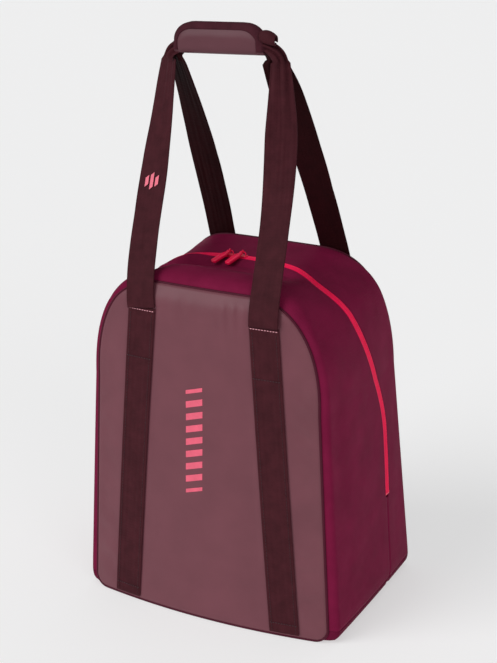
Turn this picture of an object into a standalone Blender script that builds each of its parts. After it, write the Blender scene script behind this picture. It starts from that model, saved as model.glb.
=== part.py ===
"""Ski boot bag: an upright soft bag with a stiff base, a two-way zip over its top and two webbing
handles that are held together by a padded grip wrap. Metres, +Z up, the front faces -Y, and the
origin is at the middle of the base's underside."""

import math

import bmesh
import bpy
from mathutils import Matrix, Vector

# ---- Driving dimensions -------------------------------------------------------------------------
HALF_DEPTH = 0.1225        # front and back seam planes, from the middle
BASE_HALF = 0.169          # half width at the base
SHOULDER_HALF = 0.153      # half width where the rounded shoulders start
SHOULDER_Z = 0.30          # height where the rounded shoulders start
TOP_Z = 0.438              # height of the flat top
TOP_HALF = 0.06            # half width of the flat top
SHOULDER_POWER = 2.3       # superellipse power of the shoulders
CORNER = 0.012             # radius of the two bottom corners
FRONT_BULGE = 0.0165       # how far the front panel stands proud of its seam plane
BACK_BULGE = 0.006
BACK_LEAN = 0.046          # how far the back panel leans forward at the top
BACK_RISE = 0.008          # how much higher the top stands at the back than at the front
TOP_ROUND = 0.015          # how far the front panel's top edge rolls back
TOP_ROUND_Z = 0.395        # height where that roll starts
SIDE_BULGE = 0.005         # how far the middle of the gusset stands proud of its edges
EDGE_STEP = 0.011          # how far the padded gusset stands out beside the panels at the base
EDGE_RAMP = 0.012          # depth over which it does so
TOP_SAG = 0.008            # how far the top sags between the front seam and the zip
TOP_END = 0.16             # path length from the middle where the shoulders turn into the sides
TOP_BLEND = 0.06           # length over which they do so
BASE_BLEND = 0.05          # height over which the side bulge grows from the base

SHELL = 0.0025             # gusset and base fabric with its foam backing
PANEL = 0.003              # front and back panels
GAP = 0.0005               # clearance between sewn pieces
PIPING = 0.002             # radius of the piping

ZIP_ARC = 0.2              # plan radius of the zip where it crosses the top
ZIP_MID = 0.115            # the zip's depth behind the front seam plane, at the middle of the top
ZIP_SIDE = 0.164           # its depth down the sides
ZIP_STRAIGHT = 0.082       # it follows the plan arc as far as this
ZIP_SIDE_START = 0.33      # path length from the middle where it runs straight down
SPLIT_Z = 0.134            # height of the zip's two ends, and of the front's fold line
TAPE = 0.006               # half width of the zip tape
COIL = 0.0026              # half width of the closed coil

WEB = 0.038                # webbing width
WEB_T = 0.0016             # webbing thickness
STITCH_Z = 0.403           # height of the seam that ends the sewn-down webbing
STITCH_X = 0.082           # webbing centre line there
STITCH_DROP = 0.004        # how far the row of thread lies below the end of the sewn-down run
FOOT_X = 0.113             # webbing centre line at the base

GRIP = Vector((-0.042, -0.0025, 0.7085))  # middle of the grip
GRIP_TILT = 2.5            # degrees by which its right end stands higher
GRIP_LEN = 0.121
GRIP_H = 0.037
WRAP_T = 0.0027            # thickness of each layer of the wrap
WRAP_INNER = 0.0040        # from the grip's middle plane to a layer's inner face
WRAP_CORNER = 0.014        # radius of the wrap's top corners
BINDING_R = 0.0018
NECK_WEB = 0.018           # width of the gathered webbing inside the grip

SLIDER_AT = (-0.026, -0.009)              # the two sliders' places along the zip's plan arc
SLIDER_TRAVEL = 0.067      # reach of the sliders to each side of the middle
POST_ROOM = 0.0016         # half width of the channel that the sliders' posts run in
BAR_UP = 0.0056            # height of a slider's bar above the zip
BAR_R = 0.0008
PLATE = (0.0115, 0.0088, 0.0012)          # size of each of a slider's two plates
RING, RING_R = 0.0023, 0.0007             # radii of the eye between the bar and a pull
PULL_TAB = (0.0062, 0.031, 0.0030)        # size of a moulded pull
PULL_TURNS = (-27, -18)    # degrees by which the left and right pulls point to the left at rest
PULL_DIP = 13              # degrees by which they hang down from the bar

FRONT_AXIS_Y = -(HALF_DEPTH + FRONT_BULGE + 0.001)   # the fold line's hinge axis


# ---- The bag's outline and skin -----------------------------------------------------------------
def smooth(part):
    """0 up to 0, 1 from 1, and a smooth step between them."""
    part = max(0.0, min(1.0, part))
    return part * part * (3 - 2 * part)


def side_half(z):
    """Half width of the side line, which leans in from the base to the shoulder."""
    return BASE_HALF + (SHOULDER_HALF - BASE_HALF) * z / SHOULDER_Z


def half_outline():
    """The right half of the front outline, from the middle of the top to the middle of the base."""
    points = [(TOP_HALF * k / 6, TOP_Z) for k in range(6)]
    power = 2 / SHOULDER_POWER
    for k in range(41):
        a = math.radians(90 - 90 * k / 40)
        points.append((TOP_HALF + (SHOULDER_HALF - TOP_HALF) * max(math.cos(a), 0) ** power,
                       SHOULDER_Z + (TOP_Z - SHOULDER_Z) * max(math.sin(a), 0) ** power))
    for k in range(1, 30):
        z = SHOULDER_Z + (CORNER - SHOULDER_Z) * k / 30
        points.append((side_half(z), z))
    middle = side_half(CORNER) - CORNER
    for k in range(9):
        a = math.radians(90 * k / 8)
        points.append((middle + CORNER * math.cos(a), CORNER - CORNER * math.sin(a)))
    points.append((0, 0))
    return points


OUTLINE = half_outline()
REACH = [0.0]
for one, two in zip(OUTLINE, OUTLINE[1:]):
    REACH.append(REACH[-1] + math.dist(one, two))


def outline(s):
    """Point and outward normal (x, z, nx, nz) at path length s from the top's middle, + to the right."""
    reach = min(abs(s), REACH[-1] - 1e-6)
    k = max(i for i in range(len(REACH) - 1) if REACH[i] <= reach)
    part = (reach - REACH[k]) / (REACH[k + 1] - REACH[k])
    (x0, z0), (x1, z1) = OUTLINE[k], OUTLINE[k + 1]
    before, after = OUTLINE[max(k - 1, 0)], OUTLINE[min(k + 2, len(OUTLINE) - 1)]
    start = Vector((x1 - before[0], z1 - before[1])).normalized()
    end = Vector((after[0] - x0, after[1] - z0)).normalized()
    along = start.lerp(end, part).normalized()
    side = 1 if s >= 0 else -1
    return side * (x0 + (x1 - x0) * part), z0 + (z1 - z0) * part, side * -along.y, along.x


def reach_at(z):
    """Path length from the top's middle down to height z on the side."""
    below = [k for k, point in enumerate(OUTLINE) if point[1] <= z][0]
    high, low = OUTLINE[below - 1][1], OUTLINE[below][1]
    return REACH[below - 1] + (REACH[below] - REACH[below - 1]) * (high - z) / (high - low)


def front_y(x, z):
    """The front panel's outer surface."""
    roll = max(0, (z - TOP_ROUND_Z) / (TOP_Z - TOP_ROUND_Z))
    bulge = FRONT_BULGE * (1 - 0.45 * (z / TOP_Z) ** 2) * (1 - (x / BASE_HALF) ** 2)
    return -HALF_DEPTH - bulge + TOP_ROUND * roll ** 2


def back_y(x, z):
    """The back panel's outer surface, which leans forward towards the top."""
    roll = max(0, (z - TOP_ROUND_Z) / (TOP_Z - TOP_ROUND_Z))
    seam = HALF_DEPTH - BACK_LEAN * z / TOP_Z
    return seam + BACK_BULGE * (1 - (x / BASE_HALF) ** 2) - TOP_ROUND * roll ** 2


def rise(z, across):
    """How much higher than the outline the bag stands: across is 0 at the front and 1 at the back."""
    return BACK_RISE * across * smooth((z - SHOULDER_Z) / (TOP_Z - SHOULDER_Z))


def zip_y(s):
    """The zip's place in depth at path length s."""
    reach = abs(s)
    if reach < ZIP_STRAIGHT:
        return -HALF_DEPTH + ZIP_MID - ZIP_ARC + math.sqrt(ZIP_ARC ** 2 - reach ** 2)
    start = ZIP_MID - ZIP_ARC + math.sqrt(ZIP_ARC ** 2 - ZIP_STRAIGHT ** 2)
    slope = -ZIP_STRAIGHT / math.sqrt(ZIP_ARC ** 2 - ZIP_STRAIGHT ** 2)
    span = ZIP_SIDE_START - ZIP_STRAIGHT
    u = min((reach - ZIP_STRAIGHT) / span, 1)
    keep = (1 + 2 * u) * (1 - u) ** 2
    return -HALF_DEPTH + keep * start + u * (1 - u) ** 2 * slope * span + (1 - keep) * ZIP_SIDE


def skin(s, y, out=0.0):
    """Point of the gusset's outer surface at path length s and depth y, moved out by out."""
    x, z, nx, nz = outline(s)
    front, back, middle = front_y(x, z), back_y(x, z), zip_y(s)
    across = (y - front) / (back - front)
    top = smooth((TOP_END - abs(s)) / TOP_BLEND)
    proud = SIDE_BULGE * min(1, z / BASE_BLEND) * (1 - top) * 4 * across * (1 - across)
    ramp = min(1, max(0, min(y - front, back - y) - 2 * PIPING) / EDGE_RAMP)
    proud += EDGE_STEP * (1 - 0.5 * z / TOP_Z) * (1 - top) * smooth(z / CORNER) * ramp
    if y < middle:
        proud -= TOP_SAG * top * math.sin(math.pi * (y - front) / (middle - front)) ** 2
    return Vector((x + nx * (proud + out), y, z + nz * (proud + out) + rise(z, across)))


# ---- Building tools -----------------------------------------------------------------------------
def clear_scene():
    for old in list(bpy.data.objects):
        bpy.data.objects.remove(old)


def new_collection(name):
    made = bpy.data.collections.new(name)
    bpy.context.scene.collection.children.link(made)
    return made


def material(name, color, roughness):
    made = bpy.data.materials.new(name)
    made.use_nodes = True
    shader = made.node_tree.nodes["Principled BSDF"]
    shader.inputs["Base Color"].default_value = (*color, 1)
    shader.inputs["Roughness"].default_value = roughness
    return made


def add(name, mesh, look, place=None, parent=None):
    """A named object in the bag's collection. Its mesh is in world space unless place moves it."""
    made = bpy.data.objects.new(name, mesh)
    BAG.objects.link(made)
    made.data.materials.append(look)
    made.matrix_world = place or Matrix.Identity(4)
    if parent is not None:
        hold(made, parent)
    return made


def hold(child, parent):
    """Parents child to parent and leaves it where it is."""
    child.parent = parent
    child.matrix_parent_inverse = PLACES[parent.name].inverted()


def joint_empty(name, at, parent=None):
    made = bpy.data.objects.new(name, None)
    BAG.objects.link(made)
    made.empty_display_size = 0.02
    PLACES[name] = Matrix.Translation(at)
    made.matrix_world = PLACES[name]
    if parent is not None:
        hold(made, parent)
    return made


def grid_mesh(name, rows):
    """A mesh over rows of points. Its faces point along (next row) x (next point)."""
    bm = bmesh.new()
    grid = [[bm.verts.new(p) for p in row] for row in rows]
    for low, high in zip(grid, grid[1:]):
        for k in range(len(low) - 1):
            bm.faces.new((low[k], high[k], high[k + 1], low[k + 1]))
    mesh = bpy.data.meshes.new(name)
    bm.to_mesh(mesh)
    bm.free()
    return mesh


def sheet(name, rows, thickness, offset, look, parent=None):
    """An open surface over rows of points, made solid. offset -1 thickens it inwards."""
    made = add(name, grid_mesh(name, rows), look, parent=parent)
    solid = made.modifiers.new("Solidify", "SOLIDIFY")
    solid.thickness = thickness
    solid.offset = offset
    solid.use_even_offset = True
    made.data.shade_smooth()
    made.data.set_sharp_from_angle(angle=math.radians(40))
    return made


def cord(name, points, radius, look, parent=None, cyclic=False):
    """A round cord along points."""
    curve = bpy.data.curves.new(name, "CURVE")
    curve.dimensions = "3D"
    curve.bevel_depth = radius
    curve.bevel_resolution = 1
    curve.use_fill_caps = True
    spline = curve.splines.new("POLY")
    spline.points.add(len(points) - 1)
    for slot, point in zip(spline.points, points):
        slot.co = (*point, 1)
    spline.use_cyclic_u = cyclic
    return add(name, curve, look, parent=parent)


def block(name, size, place, look, bevel=0.0, parent=None, segments=2):
    """A box of that size, centred on place's origin, with rounded edges."""
    bm = bmesh.new()
    bmesh.ops.create_cube(bm, size=1.0)
    bmesh.ops.scale(bm, vec=size, verts=bm.verts)
    mesh = bpy.data.meshes.new(name)
    bm.to_mesh(mesh)
    bm.free()
    made = add(name, mesh, look, place, parent)
    if bevel:
        soft = made.modifiers.new("Bevel", "BEVEL")
        soft.width = bevel
        soft.segments = segments
    return made


def spaced(start, end, count):
    return [start + (end - start) * k / (count - 1) for k in range(count)]


# ---- Stations along the outline -----------------------------------------------------------------
SIDE_END = reach_at(CORNER)
ZIP_END = reach_at(SPLIT_Z)
TOP_STATIONS = spaced(0, 0.075, 5)[:-1] + spaced(0.075, 0.25, 12)
UPPER = TOP_STATIONS + spaced(0.25, ZIP_END, 5)[1:]
LOWER = spaced(ZIP_END, SIDE_END, 5)


def both_sides(stations):
    """Stations from far left over the top to far right."""
    return [-s for s in reversed(stations[1:])] + list(stations)


def strip(name, stations, low, high, shares, look, thickness=SHELL, out=0, parent=None):
    """A band of the gusset between the depths low(s) and high(s), with a column at each share of the
    way from low to high."""
    rows = [[skin(s, low(s) + (high(s) - low(s)) * u, out) for u in shares] for s in stations]
    return sheet(name, rows, thickness, -1, look, parent)


def edge_front(s):
    x, z, _, _ = outline(s)
    return front_y(x, z)


def edge_back(s):
    x, z, _, _ = outline(s)
    return back_y(x, z)


# ---- The bag's panels ---------------------------------------------------------------------------
def panel_rows(surface, heights, inset, mirror):
    """Rows over a panel from height to height, each as wide as the outline less the inset. mirror is
    1 for the front panel and -1 for the back panel."""
    rows = []
    for z in heights:
        if z < CORNER:
            half = side_half(CORNER) - CORNER + math.sqrt((CORNER - inset) ** 2 - (CORNER - z) ** 2)
        elif z <= SHOULDER_Z:
            half = side_half(z) - inset
        else:
            up = (z - SHOULDER_Z) / (TOP_Z - inset - SHOULDER_Z)
            reach = (1 - up ** SHOULDER_POWER) ** (1 / SHOULDER_POWER)
            half = TOP_HALF + (SHOULDER_HALF - TOP_HALF - inset) * reach
        lift = rise(z, 0 if mirror > 0 else 1)
        rows.append([Vector((mirror * x, surface(x, z), z + lift)) for x in spaced(half, -half, 13)])
    return rows


PANEL_INSET = 2 * PIPING + 0.0004 + GAP
UPPER_HEIGHTS = spaced(SPLIT_Z + GAP, SHOULDER_Z, 4)
UPPER_HEIGHTS += [0.33, 0.355, 0.378, 0.395, 0.409, 0.421, 0.4285, 0.4325]
LOWER_HEIGHTS = [0.0050, 0.0062, 0.0085, 0.012, 0.04, 0.085, SPLIT_Z - GAP]


def make_panels():
    sheet("front_panel_lower", panel_rows(front_y, LOWER_HEIGHTS, PANEL_INSET, 1), PANEL, -1, COATED)
    sheet("front_panel_upper", panel_rows(front_y, UPPER_HEIGHTS, PANEL_INSET, 1), PANEL, -1, COATED,
          FLAP)
    whole = LOWER_HEIGHTS[:-1] + UPPER_HEIGHTS
    sheet("back_panel", panel_rows(back_y, whole, PANEL_INSET, -1), PANEL, -1, COATED)


def make_gusset():
    behind_front = 2 * PIPING + GAP

    def front(s):
        return edge_front(s) + behind_front

    def back(s):
        return edge_back(s) - behind_front

    def zip_front(s):
        return zip_y(s) - TAPE - GAP

    def zip_back(s):
        return zip_y(s) + TAPE + GAP

    flap_stations = UPPER[:-1] + [reach_at(SPLIT_Z + GAP)]
    wide, narrow = (0, 0.1, 0.4, 0.7, 1), (0, 0.4, 0.82, 1)
    strip("gusset_front", both_sides(flap_stations), front, zip_front, wide, FABRIC, parent=FLAP)
    strip("gusset_rear", both_sides(UPPER), zip_back, back, narrow, FABRIC)
    for side, name in ((-1, "left"), (1, "right")):
        stations = sorted(side * s for s in [reach_at(SPLIT_Z - GAP)] + LOWER[1:])
        strip(f"gusset_side_front_{name}", stations, front, lambda s: zip_y(s) - GAP / 2, wide, FABRIC)
        strip(f"gusset_side_rear_{name}", stations, lambda s: zip_y(s) + GAP / 2, back, narrow, FABRIC)
    half = spaced(SIDE_END + 0.0015, SIDE_END + CORNER * math.pi / 2, 5)
    half += spaced(SIDE_END + CORNER * math.pi / 2, REACH[-1], 6)[1:-1]
    rows = []
    for s in half + [REACH[-1]] + [-s for s in reversed(half)]:
        near, far = front(s), back(s)
        rows.append([skin(s, y) for y in (near, near + EDGE_RAMP, 0, far - EDGE_RAMP, far)])
    sheet("base_panel", rows, SHELL, -1, BASE_FABRIC)


def make_base_board():
    half_x, half_y, radius, thick = 0.154, 0.112, 0.02, 0.0024
    bm = bmesh.new()
    bmesh.ops.create_cube(bm, size=1.0)
    bmesh.ops.scale(bm, vec=(2 * half_x, 2 * half_y, thick), verts=bm.verts)
    upright = [e for e in bm.edges if abs(e.verts[0].co.z - e.verts[1].co.z) > thick / 2]
    bmesh.ops.bevel(bm, geom=upright, offset=radius, segments=3, affect="EDGES", profile=0.5)
    mesh = bpy.data.meshes.new("base_board")
    bm.to_mesh(mesh)
    bm.free()
    add("base_board", mesh, BOARD, Matrix.Translation((0, 0, SHELL + 0.0006 + thick / 2)))


def make_piping():
    """Round piping in the seams between the panels and the gusset."""
    inset = PIPING + 0.0004

    def run(stations, edge, way):
        found = []
        for s in stations:
            x, z, nx, nz = outline(s)
            lift = rise(z, 0 if way > 0 else 1)
            found.append(Vector((x - nx * inset, edge(s) + way * PIPING, z - nz * inset + lift)))
        return found

    corner = spaced(SIDE_END, SIDE_END + 0.0195, 5)
    floor = spaced(SIDE_END + 0.0195, REACH[-1] - 0.001, 5)[1:]
    low_half = [reach_at(SPLIT_Z - GAP)] + LOWER[1:-1] + corner + floor
    low_left = run([-s for s in low_half], edge_front, 1)
    low_right = run(low_half, edge_front, 1)
    cord("piping_front_lower", low_left + low_right[::-1], PIPING, PIPE)
    arch = both_sides(UPPER[:-1] + [reach_at(SPLIT_Z + GAP)])
    cord("piping_front_upper", run(arch, edge_front, 1), PIPING, PIPE, FLAP)
    back_half = UPPER + LOWER[1:-1] + corner + floor
    loop = run(both_sides(back_half), edge_back, -1)
    cord("piping_back", loop, PIPING, PIPE, cyclic=True)


# ---- Zip ----------------------------------------------------------------------------------------
def make_zip():
    def parted(s):
        """The halves stand apart by the channel for the sliders' posts, as far as the sliders go."""
        return POST_ROOM if abs(s) < SLIDER_TRAVEL + GAP else GAP / 2

    fine = both_sides(sorted(set(UPPER[:-1] + [SLIDER_TRAVEL, SLIDER_TRAVEL + 0.004,
                                               reach_at(SPLIT_Z + 0.005)])))
    for name, way, parent in (("front", -1, FLAP), ("rear", 1, None)):
        def near(s):
            return zip_y(s) + way * parted(s)

        def far(s, reach):
            return zip_y(s) + way * reach

        tape = (lambda s: far(s, TAPE), near) if way < 0 else (near, lambda s: far(s, TAPE))
        coil = (lambda s: far(s, COIL), near) if way < 0 else (near, lambda s: far(s, COIL))
        strip(f"zip_tape_{name}", fine, *tape, (0, 1), ZIP, 0.0008, -0.0005, parent)
        strip(f"zip_coil_{name}", fine, *coil, (0, 1), ZIP, 0.0012, -0.0017, parent)
    for side, name in ((-1, "left"), (1, "right")):
        s = side * reach_at(SPLIT_Z + 0.0026)
        at = skin(s, zip_y(s), -0.0012)
        block(f"zip_stop_{name}", (0.0022, 0.011, 0.0042), Matrix.Translation(at), ZIP, 0.0005)


def slider_place(s):
    """Frame on the zip at s: X along the zip, Z up, and the origin on the tape's outer face."""
    turn = Matrix.Rotation(-math.asin(s / ZIP_ARC), 4, "Z")
    return Matrix.Translation(skin(s, zip_y(s))) @ turn


def make_slider(name, s, pull_turn):
    """A slider with its two plates, post, bar and moulded pull, which points to the front at rest."""
    place = slider_place(s)
    turn_axis = Vector((0, -HALF_DEPTH + ZIP_MID - ZIP_ARC, TOP_Z))
    body = joint_empty(f"{name}_turn", turn_axis)
    above = Matrix.Translation((0, 0, PLATE[2] / 2))
    top = block("plate", PLATE, above, PULL, 0.0003, segments=1)
    low = block("lower_plate", PLATE, Matrix.Translation((0, 0, -0.0043)), PULL, 0.0003, segments=1)
    post = block("post", (0.0022, 0.0018, 0.0056), Matrix.Translation((0, 0, -0.0018)), PULL)
    bar = bar_shape()
    join(top, [low, post, bar])
    top.name = f"slider_{name}"
    top.data.name = top.name
    top.matrix_world = place @ above
    hold(top, body)

    hinge = place @ Vector((0, 0, BAR_UP))
    swing = joint_empty(f"{name}_pull_swing", hinge, body)
    at_bar = place @ Matrix.Translation((0, 0, BAR_UP))
    ring = add(f"pull_ring_{name}", ring_mesh(), PULL,
               at_bar @ Matrix.Rotation(math.radians(90), 4, "Y"), swing)
    ring.data.shade_smooth()
    turn = Matrix.Rotation(math.radians(pull_turn), 4, "Z")
    dip = Matrix.Rotation(math.radians(PULL_DIP), 4, "X")
    tab = at_bar @ turn @ dip @ Matrix.Translation((0, -RING - RING_R - GAP - PULL_TAB[1] / 2, 0))
    block(f"pull_tab_{name}", PULL_TAB, tab, PULL, 0.0011, swing)


def ring_mesh():
    """The pull's eye, which turns around the slider's bar."""
    bpy.ops.mesh.primitive_torus_add(major_radius=RING, minor_radius=RING_R, major_segments=14,
                                     minor_segments=6)
    made = bpy.context.object
    mesh = made.data
    bpy.data.objects.remove(made)
    return mesh


def bar_shape():
    """The bar over a slider's top plate, as a mesh object."""
    reach, turn = 0.0042, 0.0012
    left = [(-reach, 0, BAR_R), (-reach, 0, BAR_UP - turn), (turn - reach, 0, BAR_UP)]
    points = left + [(-x, y, z) for x, y, z in reversed(left)]
    return as_mesh(cord("bar", points, BAR_R, PULL))


def as_mesh(source):
    """Replaces a curve object with a mesh object of the same shape, with its caps welded."""
    graph = bpy.context.evaluated_depsgraph_get()
    mesh = bpy.data.meshes.new_from_object(source.evaluated_get(graph))
    bm = bmesh.new()
    bm.from_mesh(mesh)
    bmesh.ops.remove_doubles(bm, verts=bm.verts, dist=1e-6)
    bmesh.ops.recalc_face_normals(bm, faces=bm.faces)
    bm.to_mesh(mesh)
    bm.free()
    name, place = source.name, source.matrix_world.copy()
    bpy.data.objects.remove(source)
    made = bpy.data.objects.new(name, mesh)
    BAG.objects.link(made)
    made.matrix_world = place
    return made


def join(whole, pieces):
    """Unites pieces with whole. The pieces stay as hidden cutters."""
    for piece in pieces:
        union = whole.modifiers.new("Union", "BOOLEAN")
        union.operation = "UNION"
        union.object = piece
        BAG.objects.unlink(piece)
        CUTTERS.objects.link(piece)
        piece.hide_render = True
        piece.display_type = "WIRE"
    bpy.context.view_layer.update()
    graph = bpy.context.evaluated_depsgraph_get()
    mesh = bpy.data.meshes.new_from_object(whole.evaluated_get(graph))
    whole.modifiers.clear()
    whole.data = mesh


# ---- Webbing and handles ------------------------------------------------------------------------
def web_x(z):
    """Centre line of the sewn-down webbing at height z."""
    return FOOT_X + (STITCH_X - FOOT_X) * z / STITCH_Z


def sewn_web(name, side, heights, surface, way, parent=None):
    rows = []
    for z in heights:
        across = [side * web_x(z) + way * WEB * u for u in (-0.5, 0, 0.5)]
        lift = rise(z, 0 if way < 0 else 1)
        rows.append([Vector((x, surface(x, z) + way * GAP, z + lift)) for x in across])
    sheet(name, rows, WEB_T, 1, WEBBING, parent)


def make_sewn_webbing():
    low = [0.0066, 0.03, 0.07, SPLIT_Z - GAP]
    high = spaced(SPLIT_Z + GAP, STITCH_Z - 0.0015, 6)
    for side, name in ((-1, "left"), (1, "right")):
        sewn_web(f"webbing_front_{name}_lower", side, low, front_y, -1)
        sewn_web(f"webbing_front_{name}_upper", side, high, front_y, -1, FLAP)
        sewn_web(f"webbing_rear_{name}", side, low[:-1] + high, back_y, 1)


def make_stitch_bars():
    """The row of thread that ends each sewn-down run of webbing."""
    for where, surface, way, parent in (("front", front_y, -1, FLAP), ("rear", back_y, 1, None)):
        for side, name in ((-1, "left"), (1, "right")):
            z = STITCH_Z - STITCH_DROP
            lift = rise(z, 0 if way < 0 else 1)
            centre = web_x(z)
            y = surface(centre, z) + way * (GAP + WEB_T + 0.0009)
            lean = surface(centre - 0.01, z) - surface(centre + 0.01, z)
            turn = Matrix.Rotation(-side * lean / 0.02, 4, "Z")
            block(f"stitching_{where}_{name}", (WEB - 0.004, 0.0008, 0.0009),
                  Matrix.Translation((side * centre, y, z + lift)) @ turn, THREAD, parent=parent)


def handle_hinge(way):
    """Depth and height of a handle's hinge line: the mid-plane of its webbing, just clear of the panel."""
    surface = front_y if way < 0 else back_y
    depth = surface(STITCH_X - WEB / 2, STITCH_Z) + way * (3 * GAP + WEB_T / 2)
    return depth, STITCH_Z + rise(STITCH_Z, 0 if way < 0 else 1)


# How a leg bends, for the front (-1) and the rear (1) handle: two control points, each with its share
# of the way to the grip, how far it bows out sideways, how far it leans in, and its height above the foot.
LEG_BENDS = {-1: ((0.15, 0.003, 0.0, 0.050), (0.55, 0.013, 0.084, 0.120)),
             1: ((0.15, 0.000, 0.010, 0.050), (0.55, 0.003, 0.045, 0.170))}


def handle_path(way):
    """Points along a handle loop from the left leg to the right leg, each with its place along the
    leg: 0 at the stitching, 1 where the leg starts to turn into the grip, 2 inside the grip."""
    hinge_y, hinge_z = handle_hinge(way)
    apart = way * 0.0018                           # from the grip's middle plane to the webbing's
    turn, climb = 0.022, 0.026                     # the leg's last bend, sideways and upwards
    runs = {}
    for side in (-1, 1):
        foot = Vector((side * STITCH_X, hinge_y, hinge_z + GAP))
        head = at_grip(side * (GRIP_LEN / 2 + 0.013), apart, -climb)
        controls = []
        for share, bow, lean, height in LEG_BENDS[way]:
            x = foot.x + (head.x - foot.x) * share + side * bow
            controls.append(Vector((x, hinge_y - way * lean, foot.z + height)))
        low, high = controls
        run = []
        for u in spaced(0, 1, 11):
            keep = 1 - u
            point = foot * keep ** 3 + low * 3 * u * keep ** 2 + high * 3 * u ** 2 * keep + head * u ** 3
            run.append((point, u))
        for k in range(1, 6):
            a = math.radians(15 * k)
            step = Vector((-side * turn * (1 - math.cos(a)), 0, climb * math.sin(a)))
            run.append((head + step, 1 + k / 6))
        runs[side] = run
    middle = [(at_grip(x, apart, 0), 2) for x in (-0.05, -0.025, 0, 0.025, 0.05)]
    return runs[-1] + middle + runs[1][::-1]


def make_handle(name, way, parent):
    stations = handle_path(way)
    points = [p for p, _ in stations]
    rows = []
    for k, (point, u) in enumerate(stations):
        along = (points[min(k + 1, len(points) - 1)] - points[max(k - 1, 0)]).normalized()
        lean = Vector((0, 1, 0))
        across = along.cross(lean).normalized()
        if k == 0 or k == len(stations) - 1:
            across = Vector((-1 if k == 0 else 1, 0, 0))
        half = (WEB + (NECK_WEB - WEB) * smooth((u - 0.55) / 0.6)) / 2
        rows.append([point - across * half, point, point + across * half])
    return sheet(name, rows, WEB_T, 0, WEBBING, parent)


def at_grip(x, y, z):
    """A point given from the grip's middle, along the grip, across it and up."""
    return GRIP + Matrix.Rotation(math.radians(-GRIP_TILT), 3, "Y") @ Vector((x, y, z))


def wrap_top(x):
    """Height of the wrap's top edge above the grip's middle, with rounded corners."""
    over = max(0, abs(x) - (GRIP_LEN / 2 - WRAP_CORNER))
    return GRIP_H / 2 - WRAP_CORNER + math.sqrt(max(WRAP_CORNER ** 2 - over ** 2, 0.0))


def make_grip():
    """The wrap: its rear layer with the bottom fold, its front flap, and their bindings."""
    half = GRIP_LEN / 2
    edge = 2 * BINDING_R + 0.0002                  # room for the binding beyond a layer
    left = [-half + step for step in (edge, 0.0055, 0.009, WRAP_CORNER)]
    stations = left + [0] + [-x for x in reversed(left)]
    fold = 0.0006                                  # depth of the fold's inner curve
    floor = -GRIP_H / 2 + WRAP_T + 0.0003 + fold
    lip = floor + 0.0012                           # where the fold ends at the front
    rear_rows, front_rows = [], []
    for x in stations:
        top = wrap_top(x) - edge
        row = [at_grip(x, -WRAP_INNER, lip)]
        for turn in spaced(0, math.pi, 5):
            row.append(at_grip(x, -WRAP_INNER * math.cos(turn), floor - fold * math.sin(turn)))
        row += [at_grip(x, WRAP_INNER, z) for z in ((top + floor) / 2, top)]
        rear_rows.append(row)
        front_rows.append([at_grip(x, -WRAP_INNER, z) for z in spaced(lip + 0.0006, top, 3)])
    sheet("grip_wrap_rear", rear_rows, WRAP_T, -1, COATED, REAR_HANDLE)
    sheet("grip_wrap_front", front_rows[::-1], WRAP_T, -1, COATED, GRIP_FLAP)
    corner = [(-half + step, wrap_top(-half + step)) for step in (0.0004, 0.002, 0.005, 0.009, WRAP_CORNER)]
    path = [(-half, floor + 0.006)] + corner + [(0, GRIP_H / 2)]
    path += [(-x, z) for x, z in reversed(path[:-1])]
    for name, way, parent in (("rear", 1, REAR_HANDLE), ("front", -1, GRIP_FLAP)):
        y = way * (WRAP_INNER + WRAP_T / 2)
        cord(f"grip_binding_{name}", [at_grip(x, y, z) for x, z in path], BINDING_R, BINDING, parent)


# ---- Build --------------------------------------------------------------------------------------
clear_scene()
PLACES = {}
BAG = new_collection("ski_boot_bag")
CUTTERS = new_collection("cutters")

COATED = material("coated_panel", (0.155, 0.052, 0.072), 0.42)
FABRIC = material("gusset_fabric", (0.118, 0.010, 0.036), 0.62)
BASE_FABRIC = material("base_fabric", (0.050, 0.008, 0.018), 0.7)
BOARD = material("base_board", (0.03, 0.03, 0.032), 0.6)
PIPE = material("piping", (0.035, 0.006, 0.013), 0.5)
ZIP = material("zip_tape", (0.75, 0.012, 0.06), 0.45)
PULL = material("zip_pull", (0.80, 0.010, 0.055), 0.35)
WEBBING = material("webbing", (0.055, 0.014, 0.022), 0.75)
THREAD = material("thread", (0.75, 0.30, 0.36), 0.6)
BINDING = material("binding", (0.080, 0.012, 0.028), 0.6)

FLAP = joint_empty("mouth_fold", Vector((0, FRONT_AXIS_Y, SPLIT_Z)))
FRONT_HANDLE = joint_empty("front_handle_swing", Vector((0, *handle_hinge(-1))), FLAP)
REAR_HANDLE = joint_empty("rear_handle_swing", Vector((0, *handle_hinge(1))))
GRIP_FLAP = joint_empty("grip_flap_fold", at_grip(0, -0.0062, 0.0052 - GRIP_H / 2), REAR_HANDLE)

make_panels()
make_gusset()
make_base_board()
make_piping()
make_zip()
make_slider("left", SLIDER_AT[0], PULL_TURNS[0])
make_slider("right", SLIDER_AT[1], PULL_TURNS[1])
make_sewn_webbing()
make_stitch_bars()
make_handle("handle_strap_front", -1, FRONT_HANDLE)
make_handle("handle_strap_rear", 1, REAR_HANDLE)
make_grip()
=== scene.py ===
"""Looks of the ski boot bag: its sewn panels, zip, webbing, handles and padded grip wrap, modelled in
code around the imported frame. Metres, +Z up, the front faces -Y. "s" is the path length along the
bag's outline from the middle of the top, + to the right."""

from functools import lru_cache
import math

import bmesh
import bpy
import numpy as np
from mathutils import Matrix, Vector, noise


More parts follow.
